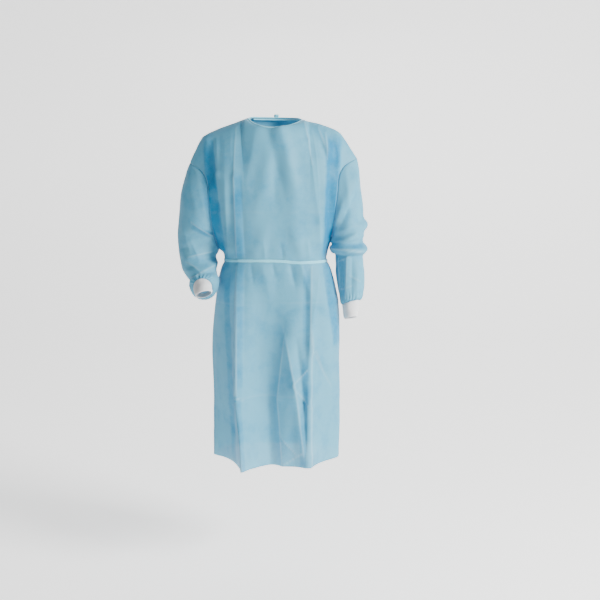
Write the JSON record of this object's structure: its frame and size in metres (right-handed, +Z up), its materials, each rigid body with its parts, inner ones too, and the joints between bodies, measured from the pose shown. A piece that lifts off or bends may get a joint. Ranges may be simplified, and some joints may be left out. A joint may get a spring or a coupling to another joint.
{
  "type": "surgical gown",
  "caption": "Disposable nonwoven surgical gown held open in its worn shape, with long sleeves, knitted cuffs, a bound neck, a lapped back and a waist belt.",
  "frame": {"origin": "midway between the two neck points of the shoulder seams, where the wearer's shoulders hold the gown up", "axes": "+Z up, -Y out of the front of the gown, +X towards the wearer's left"},
  "size_m": [0.613, 0.3593, 1.1268],
  "materials": {
    "gown_cloth": "light blue nonwoven polypropylene, matt with a faint silky sheen and slightly see-through",
    "folded_strip": "the same nonwoven folded into narrow strips, denser and brighter",
    "cuff_knit": "white ribbed polyester knit, soft and matt"
  },
  "bodies": {
    "root": {"front_panel": "gown_cloth", "back_panel_left": "gown_cloth", "back_panel_right": "gown_cloth", "sleeve_left": "gown_cloth", "sleeve_right": "gown_cloth", "cuff_left": "cuff_knit", "cuff_right": "cuff_knit", "neck_binding": "folded_strip", "neck_knot": "folded_strip", "neck_end_left": "folded_strip", "neck_end_right": "folded_strip", "waist_belt": "folded_strip", "belt_knot": "folded_strip", "belt_end_left": "folded_strip", "belt_end_right": "folded_strip"}
  },
  "joints": []
}
